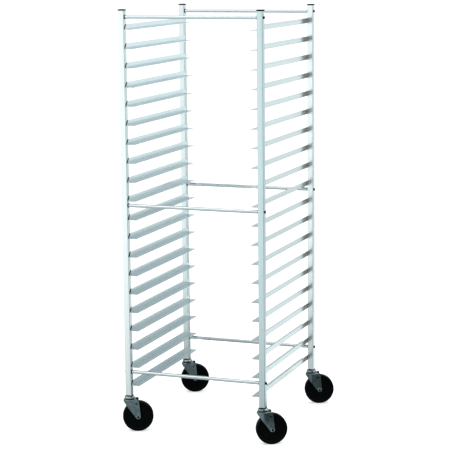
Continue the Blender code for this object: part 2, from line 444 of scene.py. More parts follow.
def shared_effect(
    name: str, inputs: dict[str, str], outputs: Sequence[str]
) -> tuple[Wiring, bpy.types.NodeOutputs, Node]:
    """Starts a node group that several materials use.

    Args:
        name: The group's name.
        inputs: The type of each input, "Float" or "Vector".
        outputs: The names of its outputs, which are all values.

    Returns:
        The group's wiring, the sockets that give its inputs, and its output node.
    """
    tree = bpy.data.node_groups.new(name, "ShaderNodeTree")
    for socket, kind in inputs.items():
        tree.interface.new_socket(name=socket, in_out="INPUT", socket_type=f"NodeSocket{kind}")
    for socket in outputs:
        tree.interface.new_socket(name=socket, in_out="OUTPUT", socket_type="NodeSocketFloat")
    entry, leave = tree.nodes.new("NodeGroupInput"), tree.nodes.new("NodeGroupOutput")
    return Wiring(tree), entry.outputs, leave


@cache
def drawn_lines() -> NodeTree:
    """Fine and broad lines that run along a drawn or rolled metal."""
    w, given, leave = shared_effect(
        "drawn_lines", {"Vector": "Vector", "Stretch": "Vector"}, ("Fine", "Broad")
    )
    stretched = w.vector("MULTIPLY", given["Vector"], given["Stretch"])
    fine = w.noise(stretched, 1.0, Detail=2.0, Roughness=0.6)
    broad = w.noise(stretched, 0.14, Detail=3.0, Roughness=0.55)
    w.feed(leave, {"Fine": fine, "Broad": broad})
    return w.tree


@cache
def smudges() -> NodeTree:
    """Soft-edged patches, such as handling marks or a dull film."""
    w, given, leave = shared_effect(
        "smudges", {"Vector": "Vector", "Scale": "Float", "From": "Float", "To": "Float"}, ("Mask",)
    )
    cloud = w.noise(given["Vector"], given["Scale"], Detail=5.0, Distortion=0.8)
    limits = {"Value": cloud, 1: given["From"], 2: given["To"], 3: 0.0, 4: 1.0}
    mask = w.node("MapRange", limits, interpolation_type="SMOOTHSTEP")
    w.feed(leave, {"Mask": mask.outputs["Result"]})
    return w.tree


@cache
def scratches() -> NodeTree:
    """Sparse thin scratches in two directions."""
    w, given, leave = shared_effect(
        "scratches", {"Vector": "Vector", "Scale": "Float", "From": "Float"}, ("Mask",)
    )
    strokes = []
    for turn, stretch in (((0.5, 0.3, 0.9), (1, 0.03, 1)), ((1.2, 2.1, 0.2), (0.03, 1, 1))):
        place = w.node("Mapping", {"Vector": given["Vector"], "Rotation": turn, "Scale": stretch})
        strokes.append(w.noise(place.outputs[0], given["Scale"], Detail=1.0))
    least = given["From"]
    limits = {"Value": w.maths("MAXIMUM", *strokes), 1: least, 2: w.maths("ADD", least, 0.03)}
    w.feed(leave, {"Mask": w.node("MapRange", limits).outputs["Result"]})
    return w.tree


# Finishes


@dataclass(frozen=True)
class Finish:
    """What every finish has: a name, the slot it belongs to, two shades and its gloss."""

    name: str
    slot: Slot
    dark: Colour
    light: Colour
    roughness: Span

    def material(self) -> bpy.types.Material:
        """The finish's material, which is made the first time it is asked for."""
        return bpy.data.materials.get(self.name) or self.built()

    def built(self) -> bpy.types.Material:
        """Makes the material and lets the finish paint it.

        Returns:
            The new material.
        """
        material = bpy.data.materials.new(self.name)
        material.use_nodes = True
        w = Wiring(material.node_tree)
        paint = self.paint(w, w.node("TexCoord").outputs["Object"])
        w.feed(material.node_tree.nodes["Principled BSDF"], paint)
        return material

    def paint(self, w: Wiring, place: NodeSocket) -> Paint:
        """Wires the finish's pattern.

        Args:
            w: The material's wiring.
            place: The Object coordinates.

        Returns:
            What each input of the Principled BSDF takes.
        """
        raise NotImplementedError

    def gloss(self, w: Wiring, pattern: NodeSocket, heights: Span = NOISE_HEIGHTS) -> NodeSocket:
        """The finish's roughness, spread between two heights of a pattern."""
        return w.spread(pattern, heights, self.roughness)


@dataclass(frozen=True)
class DrawnAluminium(Finish):
    """Mill-finish aluminium with drawing lines, a dull oxide film and a few scratches."""

    grain: Grain = Grain.ALONG_Z

    def paint(self, w: Wiring, place: NodeSocket) -> Paint:
        """Lines, film and scratches; see Finish.paint."""
        lines = {"Vector": place, "Stretch": self.grain.value}
        fine, broad = w.node("Group", lines, node_tree=drawn_lines()).outputs
        film = w.smudged(place, 7.0, 0.42, 0.68)
        marks = w.scratched(place, 160.0, 0.70)
        tone = w.blend(w.spread(broad, NOISE_HEIGHTS, (0, 1)), self.dark, self.light)
        # Each finish's own wear and painted shade come in here.
        dulled_and_shaded = self.worn_and_shaded(w, place, w.blend(w.times(film, 0.15), tone, self.dark))
        return {
            "Metallic": 1.0,
            "Base Color": w.blend(w.times(marks, 0.3), dulled_and_shaded, self.light),
            "Roughness": w.maths("ADD", self.gloss(w, fine), w.times(film, 0.04)),
            "Normal": w.bump(w.maths("SUBTRACT", fine, w.times(marks, 0.6)), 0.12, 0.0001),
        }

    def worn_and_shaded(self, w: Wiring, place: NodeSocket, colour: NodeSocket) -> NodeSocket:
        """Leaves the metal's colour as it is; a finish with its own wear or painted shade changes
        it.
        """
        return colour


@dataclass(frozen=True)
class PostAluminium(DrawnAluminium):
    """The posts' metal: bright in front and behind, with painted shade on its two sides that look
    along X.
    """

    # Painted shade: the faces that look along X are darkened towards this colour.
    painted_side_shade: Colour = (0.42, 0.46, 0.47)
    painted_side_share: float = 0.6

    def worn_and_shaded(self, w: Wiring, place: NodeSocket, colour: NodeSocket) -> NodeSocket:
        """Paints shade on the faces that look along X; see RunnerAluminium.worn_and_shaded."""
        painted_side_mask = w.spread(w.maths("ABSOLUTE", w.facing("X")), (0.6, 0.9), (0, self.painted_side_share))
        return w.blend(painted_side_mask, colour, self.painted_side_shade)


@dataclass(frozen=True)
class RunnerAluminium(DrawnAluminium):
    """The runners' metal: pans have rubbed bright tracks into it, its ends hold dark grime, and its
    faces towards -X can carry painted shade.
    """

    ends: Span = (-0.33, 0.30)
    end_reach: float = 0.05
    grime_shade: Colour = (0.07, 0.075, 0.075)
    # Painted shade: the faces towards -X are darkened towards this colour.
    painted_outer_shade: Colour = (0.36, 0.41, 0.425)
    painted_outer_share: float = 0.0

    def worn_and_shaded(self, w: Wiring, place: NodeSocket, colour: NodeSocket) -> NodeSocket:
        """Paints shade on the faces towards -X, rubs tracks into the upward faces and soils both
        ends.

        Args:
            w: The material's wiring.
            place: The Object coordinates.
            colour: The metal's colour so far.

        Returns:
            The colour's socket, with wear and painted shade.
        """
        # Painted shade on the faces towards -X.
        outer = w.spread(w.facing("X"), (-0.6, -0.9), (0, self.painted_outer_share))
        colour = w.blend(outer, colour, self.painted_outer_shade)
        track = w.node("Mapping", {"Vector": place, "Scale": (160.0, 1.2, 12.0)}).outputs[0]
        tracks = w.spread(w.noise(track, 1.0, Detail=3.0), (0.5, 0.68), (0, 0.4))
        level = w.spread(w.facing("Z"), (0.6, 0.95), (0, 1))
        colour = w.blend(w.times(level, tracks), colour, self.light)
        along, (front, rear) = w.axis(place, "Y"), self.ends
        near = w.maths(
            "MAXIMUM",
            w.spread(along, (front - 0.002, front + self.end_reach), (1, 0)),
            w.spread(along, (rear - self.end_reach, rear + 0.002), (0, 1)),
        )
        grime = w.times(w.maths("POWER", near, 2.0), w.smudged(place, 150.0, 0.56, 0.63))
        return w.blend(w.times(grime, 0.75), colour, self.grime_shade)


@dataclass(frozen=True)
class PlatedSteel(Finish):
    """Zinc plate over pressed steel: cloudy bluish spangle, fine scratches and a satin grain."""

    scratch: Colour = (0.7, 0.73, 0.74)

    def paint(self, w: Wiring, place: NodeSocket) -> Paint:
        """The spangle and the grain; see Finish.paint."""
        cloud = w.smudged(place, 55.0, 0.38, 0.64)
        marks = w.scratched(place, 300.0, 0.66)
        spangle = w.node("TexVoronoi", {"Vector": place, "Scale": 420.0}).outputs["Color"]
        speckle = w.node("SeparateColor", {0: spangle}).outputs["Red"]
        tone = w.blend(w.times(speckle, 0.05), w.blend(cloud, self.dark, self.light), self.light)
        relief = w.maths("ADD", w.noise(place, 900.0, Detail=3.0), marks)
        return {
            "Metallic": 1.0,
            "Base Color": w.blend(w.times(marks, 0.15), tone, self.scratch),
            "Roughness": self.gloss(w, speckle, (0, 1)),
            "Normal": w.bump(relief, 0.08, 0.0001),
        }


@dataclass(frozen=True)
class Blackened(Finish):
    """Black oxide on steel, thin enough for its high spots to shine through; near-black, it also
    gives the painted shadow on the lower race and the stem collar.
    """

    def paint(self, w: Wiring, place: NodeSocket) -> Paint:
        """The rubbed spots and the tooth of the oxide; see Finish.paint."""
        tooth = w.noise(place, 1400.0, Detail=3.0)
        return {
            "Specular IOR Level": 0.1,
            "Base Color": w.blend(w.smudged(place, 190.0, 0.58, 0.75), self.dark, self.light),
            "Roughness": self.gloss(w, tooth),
            "Normal": w.bump(tooth, 0.2, 0.0001),
        }


@dataclass(frozen=True)
class Moulded(Finish):
    """Black plastic with a fine mould texture and pale scuffs."""

    def paint(self, w: Wiring, place: NodeSocket) -> Paint:
        """The mould texture and the scuffs; see Finish.paint."""
        scuffs = w.times(w.scratched(place, 260.0, 0.64), 0.7)
        pebble = w.node("TexVoronoi", {"Vector": place, "Scale": 1300.0}).outputs["Distance"]
        return {
            "Specular IOR Level": 0.02,
            "Base Color": w.blend(scuffs, self.dark, self.light),
            "Roughness": self.gloss(w, pebble, (0.1, 0.7)),
            "Normal": w.bump(pebble, 0.35, 0.0002),
        }


@dataclass(frozen=True)
class WheelRubber(Finish):
    """Hard black rubber: faint mould rings on its sides, floor dust on its tread.

    The pattern is centred on one wheel, so each wheel has a material of its own.
    """

    centre: Colour = (0, 0, 0)
    turn: float = 0.0
    tread: Span = (0.0575, 0.0635)

    def paint(self, w: Wiring, place: NodeSocket) -> Paint:
        """The rings, the dust and the rubber's tooth; see Finish.paint."""
        centred = w.vector("SUBTRACT", place, self.centre)
        local = w.node("Mapping", {"Vector": centred, "Rotation": (0, 0, -self.turn)}).outputs[0]
        radius = w.vector("LENGTH", w.vector("MULTIPLY", local, (1, 0, 1)))
        wave = w.maths("SINE", w.maths("MULTIPLY", radius, 2600.0, clamp=False), clamp=False)
        side = w.spread(radius, (0.016, self.tread[0]), (0.35, 0.0))
        rings = w.times(w.spread(wave, (-1, 1), (0, 1)), side)
        dust = w.smudged(place, 70.0, 0.44, 0.72)
        film = w.times(dust, w.spread(radius, self.tread, (0.10, 0.55)))
        tooth = w.noise(place, 800.0, Detail=4.0)
        return {
            "Specular IOR Level": 0.05,
            "Base Color": w.blend(film, self.dark, self.light),
            "Roughness": self.gloss(w, tooth),
            "Normal": w.bump(w.maths("ADD", rings, tooth), 0.35, 0.0002),
        }


@dataclass(frozen=True)
class WeldWithPaintedShade(Finish):
    """A weld bead, near-black: painted shade where a runner's slanted end meets the post, over some
    weld soot.
    """

    def paint(self, w: Wiring, place: NodeSocket) -> Paint:
        """The mottled near-black of the painted shade and the bead's grain; see Finish.paint."""
        grain = w.noise(place, 1100.0, Detail=3.0)
        return {
            "Metallic": 0.2,
            "Specular IOR Level": 0.03,
            "Base Color": w.blend(w.smudged(place, 240.0, 0.35, 0.62), self.light, self.dark),
            "Roughness": self.gloss(w, grain),
            "Normal": w.bump(grain, 0.4, 0.0002),
        }


@dataclass(frozen=True)
class FloorPaint(Finish):
    """The studio's plain pale floor.

    Its light shade shows directly. Reflections and bounced light meet greyer shades, as round a
    small white table in a large room: brighter far off and in front, and dark on one side of the
    room. A pair of shades is for the floor behind the rack and the floor before it.
    """

    near: Span = (0.32, 0.50)
    far: Span = (0.95, 1.0)
    reach: Span = (0.8, 14.0)
    right_side: Span = (0.20, 0.45)
    right_lift: float = 0.65
    dark_from: Colour = (0.34, 0.30, 0.0)
    darkest: float = 0.18
    glow: float = 0.45
    bounced_glow: float = 0.22

    def paint(self, w: Wiring, place: NodeSocket) -> Paint:
        """The direct shade and the reflected ones; see Finish.paint."""
        distance = w.maths("LOGARITHM", w.vector("LENGTH", place), 10.0, clamp=False)
        remote = w.spread(distance, tuple(math.log10(r) for r in self.reach), (0, 1))
        behind, front = (w.spread(remote, (0, 1), ends) for ends in zip(self.near, self.far))
        beside = w.spread(w.axis(place, "X"), self.right_side, (0, 1))
        lift = w.times(beside, w.spread(remote, (0, 0.6), (self.right_lift, 0)))
        behind = w.maths("ADD", behind, lift)
        ahead = w.spread(w.axis(w.vector("NORMALIZE", place), "Y"), (0.1, -0.8), (0, 1))
        shade = w.node("Mix", {0: ahead, 2: behind, 3: front}, data_type="FLOAT").outputs[0]
        sight = w.vector("NORMALIZE", w.vector("SUBTRACT", place, self.dark_from))
        along = w.vector("DOT_PRODUCT", sight, DARK_WAY)
        shade = w.times(shade, w.spread(along, DARK_EDGE, (1.0, self.darkest)))
        bounced = w.blend(shade, BLACK, self.dark)
        direct = w.node("LightPath").outputs["Is Camera Ray"]
        glow = w.blend(self.bounced_glow, BLACK, bounced)
        return {
            "Specular IOR Level": 0.1,
            "Base Color": w.blend(direct, bounced, self.light),
            "Emission Color": w.blend(direct, glow, (self.glow,) * 3),
            "Emission Strength": 1.0,
            "Roughness": self.gloss(w, w.noise(place, 0.9, Detail=4.0)),
        }


# Lit and shaded copies of one aluminium: each post's tone is painted light and shade. It runs from
# brightest at the front left to dullest at the front right and stands in for the room that each
# post reflects.
LIT_AND_SHADED_POST_METALS = {
    corner: PostAluminium(f"post_aluminium_lit_and_shaded_{look}", Slot.ALUMINIUM, dark, light, (0.17, 0.26))
    for corner, look, dark, light in (
        (Corner.FRONT_LEFT, "brightest", (0.88, 0.91, 0.92), (0.94, 0.96, 0.96)),
        (Corner.FRONT_RIGHT, "dullest", (0.57, 0.665, 0.69), (0.66, 0.745, 0.77)),
        (Corner.REAR_LEFT, "dull", (0.74, 0.79, 0.80), (0.84, 0.87, 0.88)),
        (Corner.REAR_RIGHT, "bright", (0.86, 0.89, 0.90), (0.93, 0.95, 0.95)),
    )
}
ROD_METAL = DrawnAluminium(
    "drawn_rod_aluminium", Slot.ALUMINIUM, (0.56, 0.61, 0.62), (0.68, 0.72, 0.73), (0.20, 0.30),
    Grain.ALONG_X,
)
# Lit and shaded copies of one aluminium: the left and right runners' tones are painted light and
# shade, and the left ones add painted shade on their faces towards -X.
LIT_AND_SHADED_RUNNER_METALS = {
    side: RunnerAluminium(
        f"{side}_runner_aluminium_lit_and_shaded", Slot.ALUMINIUM, dark, light, roughness, Grain.ALONG_Y,
        painted_outer_share=painted_outer_share,
    )
    for side, dark, light, roughness, painted_outer_share in (
        ("left", (0.64, 0.73, 0.75), (0.74, 0.81, 0.83), (0.18, 0.26), 0.6),
        ("right", (0.60, 0.65, 0.66), (0.70, 0.74, 0.75), (0.16, 0.24), 0.0),
    )
}
FORK_METAL = PlatedSteel(
    "plated_fork_steel", Slot.STEEL, (0.125, 0.170, 0.182), (0.20, 0.255, 0.270), (0.18, 0.25)
)
RACE_METAL = PlatedSteel(
    "plated_race_steel", Slot.STEEL, (0.22, 0.26, 0.27), (0.52, 0.56, 0.57), (0.14, 0.26)
)
# Painted shadow: the stem collar under each post and the lower race in the groove under the cup are
# near-black to stand for the shade in these gaps.
PAINTED_SHADOW_STEEL = Blackened(
    "race_steel_painted_shadow", Slot.STEEL, (0.006, 0.007, 0.008), (0.03, 0.034, 0.036), (0.30, 0.50)
)
BUSH_METAL = PlatedSteel(
    "bush_steel", Slot.STEEL, (0.30, 0.32, 0.33), (0.50, 0.53, 0.54), (0.25, 0.38)
)
BOLT_BLACK = Blackened(
    "blackened_bolt_steel", Slot.BOLT, (0.003, 0.003, 0.0035), (0.014, 0.014, 0.016), (0.42, 0.58)
)
CAP_PLASTIC = Moulded(
    "cap_plastic", Slot.PLASTIC, (0.003, 0.003, 0.0035), (0.03, 0.03, 0.032), (0.55, 0.70)
)
# Painted shade: the beads are near-black where the runners' slanted ends meet the posts.
WELD_WITH_PAINTED_SHADE = WeldWithPaintedShade(
    "weld_painted_shade", Slot.ALUMINIUM, (0.005, 0.006, 0.006), (0.035, 0.04, 0.04), (0.50, 0.75)
)
FLOOR = FloorPaint(
    "pale_floor", Slot.PLASTIC, (0.93, 1.0, 1.0), (0.92, 0.92, 0.92), (0.80, 0.95)
)
RUBBER_DARK: Colour = (0.0010, 0.0016, 0.0018)
RUBBER_DUST: Colour = (0.005, 0.006, 0.0065)


# The rack


@dataclass(frozen=True)
class Post:
    """One square tube post with its top cap, and the sleeve that holds a caster's stem."""

    corner: Corner
    side: float = 0.0254
    wall: float = 0.002
    corner_radius: float = 0.0025
    bottom: float = 0.1524
    top: float = 1.7150
    cap_overhang: float = 0.0004
    cap_rise: float = 0.0055
    cap_plug: float = 0.012
    cap_cushion: float = 0.35
    sleeve_depth: float = 0.024
    sleeve_room: float = 0.0002
    sleeve_overlap: float = 0.0005
    collar_radius: float = 0.0168
    collar_depth: float = 0.003

    @property
    def node(self) -> str:
        """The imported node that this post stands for."""
        return f"post_{self.corner.value}"

    @property
    def foot(self) -> Vector:
        """The point on the floor under the post's middle."""
        return box_centre(self.node) * Vector((1, 1, 0))

    @property
    def inner_face(self) -> float:
        """The x of the face that the runners and rods stand against."""
        return self.foot.x + self.corner.inward * self.side / 2

    @property
    def outer_face(self) -> float:
        """The x of the face on the rack's outside."""
        return self.foot.x - self.corner.inward * self.side / 2

    def tube(self) -> BMesh:
        """The open-ended tube, about its own Z axis.

        Returns:
            A shell with rounded uprights and a real wall.
        """
        half = self.side / 2
        bm = block((-half, -half, self.bottom), (half, half, self.top))
        round_edges(bm, edges_above(bm, 0, upright=True), self.corner_radius, 3)
        ends = [f for f in bm.faces if abs(f.normal.z) > 0.5]
        bmesh.ops.delete(bm, geom=ends, context="FACES_ONLY")
        bmesh.ops.recalc_face_normals(bm, faces=bm.faces)
        bmesh.ops.solidify(bm, geom=bm.faces[:], thickness=self.wall)
        return bm

    def cap(self) -> BMesh:
        """The pushed-in end cap: a low cushion-shaped head over a square plug.

        Returns:
            The cap about the post's Z axis.
        """
        rim, crown = self.side / 2 + self.cap_overhang, self.top + self.cap_rise
        head = block((-rim, -rim, self.top), (rim, rim, crown))
        under = next(f for f in head.faces if f.normal.z < -0.5)
        bmesh.ops.inset_individual(head, faces=[under], thickness=self.wall + self.cap_overhang * 2)
        plug = bmesh.ops.extrude_discrete_faces(head, faces=[under])["faces"]
        bmesh.ops.translate(head, verts=plug[0].verts, vec=(0, 0, -self.cap_plug))
        uprights = edges_above(head, self.top - MERGE, upright=True)
        round_edges(head, uprights, self.corner_radius, 3)
        top_edges = edges_above(head, crown - MERGE)
        over = [e for e in top_edges if any(f.normal.z < 0.5 for f in e.link_faces)]
        round_edges(head, over, self.cap_rise * self.cap_cushion, 4)
        tidy(head)
        return head

    def sleeve(self) -> BMesh:
        """The steel sleeve in the tube's end with the hexagonal collar below it.

        Returns:
            The sleeve about the post's Z axis.
        """
        inside, foot = self.side / 2 - self.wall - self.sleeve_room, self.bottom
        low, high = foot - self.sleeve_overlap, foot + self.sleeve_depth
        sleeve = block((-inside, -inside, low), (inside, inside, high))
        collar = bar(self.collar_radius, (0, 0, foot - self.collar_depth), (0, 0, foot), 6)
        return worked(softened(collar, BROKEN_EDGE), [(Cut.JOIN, sleeve)])

    def build(self) -> None:
        """Makes the post's pieces in their places."""
        at = Matrix.Translation(self.foot)
        name = self.corner.value
        metal = LIT_AND_SHADED_POST_METALS[self.corner]
        piece(f"post_tube_{name}", moved(self.tube(), at), metal, RACK, [self.node])
        piece(f"post_cap_{name}", moved(self.cap(), at), CAP_PLASTIC, RACK)
        # The collar is near-black: painted shadow in the gap under the post.
        piece(f"stem_sleeve_{name}", moved(self.sleeve(), at), PAINTED_SHADOW_STEEL, RACK)


@dataclass(frozen=True)
class Runners:
    """The forty angle runners and the welds that hold them to the posts."""

    levels: int = 20
    thickness: float = 0.002
    bend_radius: float = 0.0027
    leg_clip: float = 0.014
    leg_foot: float = 0.001
    ledge_clip: float = 0.005
    deburr: float = 0.0003
    bead_width: float = 0.0024
    bead_ripples: int = 6

    def angle(self, length: float, height: float, width: float) -> BMesh:
        """One right-hand runner: a ledge towards -X from a leg that stands at x = 0.

        Args:
            length: Its length along Y.
            height: The height of its leg, with the ledge's thickness.
            width: The width of its ledge.

        Returns:
            The runner, with its ledge's top at z = 0 and its middle at y = 0.
        """
        bm = bmesh.new()
        under = -self.thickness
        skin = [(-width, under), (0, under), (0, under + height)]
        row = [bm.verts.new((x, length / 2, z)) for x, z in skin]
        edges = [bm.edges.new(pair) for pair in zip(row, row[1:])]
        grown = bmesh.ops.extrude_edge_only(bm, edges=edges)["geom"]
        far = [v for v in grown if isinstance(v, BMVert)]
        bmesh.ops.translate(bm, verts=far, vec=(0, -length, 0))
        bmesh.ops.recalc_face_normals(bm, faces=bm.faces)
        if max(f.normal.x for f in bm.faces) < 0.5:
            bmesh.ops.reverse_faces(bm, faces=bm.faces)
        round_edges(bm, sharp_edges(bm), self.bend_radius, 5)
        bmesh.ops.solidify(bm, geom=bm.faces[:], thickness=self.thickness)
        rise = height - self.thickness - self.leg_foot
        for end in (-1, 1):
            y = end * length / 2
            for point, normal in (
                ((0, y, self.leg_foot), (0, end * rise, self.leg_clip)),
                ((-width, y - end * self.ledge_clip, 0), (-1, end, 0)),
            ):
                sliced = bmesh.ops.bisect_plane(
                    bm, geom=bm.verts[:] + bm.edges[:] + bm.faces[:], dist=1e-7,
                    plane_co=point, plane_no=normal, clear_outer=True,
                )["geom_cut"]
                rim = [e for e in sliced if isinstance(e, BMEdge)]
                bmesh.ops.edgeloop_fill(bm, edges=rim)
        tidy(bm)
        round_edges(bm, sharp_edges(bm, 40), self.deburr, 1)
        tidy(bm)
        return bm

    def bead(self, length: float, height: float, end: int) -> BMesh:
        """The weld along a runner's slanted end, on the post's face.

        Args:
            length: The runner's length.
            height: The height of its leg, with the ledge's thickness.
            end: -1 for the front end, +1 for the rear end.

        Returns:
            The bead, in the runner's own place.
        """
        low = Vector((0, end * length / 2, self.leg_foot))
        high = Vector((0, end * (length / 2 - self.leg_clip), height - self.thickness))
        way = high - low
        bm = bmesh.new()
        bmesh.ops.create_uvsphere(bm, u_segments=8, v_segments=4 * self.bead_ripples, radius=1)
        for v in bm.verts:
            fullness = max(0.0, 1 - v.co.z**2) ** 0.35
            round_part = Vector((v.co.x, v.co.y, 0))
            if round_part.length > MERGE:
                ripple = 1 + 0.16 * math.cos(v.co.z * math.pi * self.bead_ripples)
                round_part = round_part.normalized() * fullness * ripple
            v.co = Vector((round_part.x * 0.75, round_part.y, v.co.z))
        turn = Vector((0, 0, 1)).rotation_difference(way).to_matrix().to_4x4()
        size = Matrix.Diagonal((self.bead_width, self.bead_width, way.length / 2, 1))
        outward = Vector((-0.0004, end * self.bead_width * 0.45, 0))
        place = Matrix.Translation((low + high) / 2 + outward)
        bmesh.ops.transform(bm, matrix=place @ turn @ size, verts=bm.verts)
        tidy(bm)
        return bm

    def build(self) -> None:
        """Makes both runners of every level, and each post's welds as one piece."""
        for side, sign in (("left", -1), ("right", 1)):
            low, high = (Vector(c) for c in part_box(f"{side}_runner_01"))
            size = high - low
            angle = self.angle(size.y, size.z, size.x)
            mirror = Matrix.Diagonal((sign, 1, 1, 1))
            beads: dict[int, list[BMesh]] = {-1: [], 1: []}
            for level in range(1, self.levels + 1):
                node, name = f"{side}_runner_{level:02d}", f"{side}_angle_{level:02d}"
                low, high = (Vector(c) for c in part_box(node))
                wall = high.x if sign > 0 else low.x
                place = Vector((wall, (low.y + high.y) / 2, low.z + self.thickness))
                at = Matrix.Translation(place) @ mirror
                piece(name, moved(angle, at), LIT_AND_SHADED_RUNNER_METALS[side], RACK, [node])
                for end, row in beads.items():
                    row.append(moved(self.bead(size.y, size.z, end), at))
            for end, row in beads.items():
                where = f"{'front' if end < 0 else 'rear'}_{side}"
                # The welds carry painted shade: near-black along the runners' slanted ends.
                piece(f"welds_{where}", gathered(row), WELD_WITH_PAINTED_SHADE, RACK)
            angle.free()


@dataclass(frozen=True)
class SpreaderRod:
    """A round rod across the rack, with a washer and a domed bolt at each end."""

    level: str
    end: str
    radius: float = 0.00715
    chamfer: float = 0.0008
    washer_radius: float = 0.0088
    washer_thickness: float = 0.0022
    washer_room: float = 0.0003
    bolt_radius: float = 0.004
    head_radius: float = 0.0056
    head_rim: float = 0.0014
    head_rise: float = 0.0052
    socket_radius: float = 0.0026
    socket_depth: float = 0.0026

    @property
    def node(self) -> str:
        """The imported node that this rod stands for."""
        return f"{self.level}_{self.end}_rod"

    def rod(self, length: float) -> BMesh:
        """The rod about Z with its end edges broken, its middle at z = 0."""
        return softened(bar(self.radius, (0, 0, -length / 2), (0, 0, length / 2), 40), self.chamfer)

    def washer(self) -> BMesh:
        """The dark washer about Z, from z = -thickness up to the post's face at z = 0."""
        inner, outer = self.bolt_radius + self.washer_room, self.washer_radius
        low = -self.washer_thickness
        section = [(inner, low), (outer, low), (outer, 0), (inner, 0)]
        return softened(turned(section, 32, closed=True), BROKEN_EDGE)

    def bolt(self, grip: float) -> BMesh:
        """The domed bolt about Z: its head stands on z = 0 and its shank goes down.

        Args:
            grip: How far the shank goes.

        Returns:
            The bolt, with a hexagonal socket in its head.
        """
        steps, top, dome = 6, self.head_rise - self.head_rim, []
        for step in range(steps):
            turn = HALF_PI * step / steps
            dome.append((self.head_radius * math.cos(turn), self.head_rim + top * math.sin(turn)))
        shank = [(0, -grip), (self.bolt_radius, -grip), (self.bolt_radius, 0)]
        shape = turned([*shank, (self.head_radius, 0), *dome, (0, self.head_rise)], 32)
        floor = (0, 0, self.head_rise - self.socket_depth)
        socket = bar(self.socket_radius, floor, (0, 0, self.head_rise * 2), 6)
        return worked(shape, [(Cut.AWAY, socket)])

    def build(self, left: Post, right: Post) -> None:
        """Makes the rod, both washers and both bolts.

        Args:
            left: The post at its left end.
            right: The post at its right end.
        """
        node, middle = self.node, box_centre(self.node)
        length = right.inner_face - left.inner_face - 2 * self.washer_thickness
        along = Matrix.Translation(middle) @ Matrix.Rotation(HALF_PI, 4, "Y")
        piece(f"{node}_bar", moved(self.rod(length), along), ROD_METAL, RACK, [node])
        for post, name in ((left, "left"), (right, "right")):
            outward = Matrix.Rotation(-post.corner.inward * HALF_PI, 4, "Y")
            inner, outer = (
                Matrix.Translation((x, middle.y, middle.z)) @ outward
                for x in (post.inner_face, post.outer_face)
            )
            piece(f"{node}_washer_{name}", moved(self.washer(), inner), BOLT_BLACK, RACK)
            bolt = self.bolt(post.side + self.washer_thickness / 2)
            piece(f"{node}_bolt_{name}", moved(bolt, outer), BOLT_BLACK, RACK)


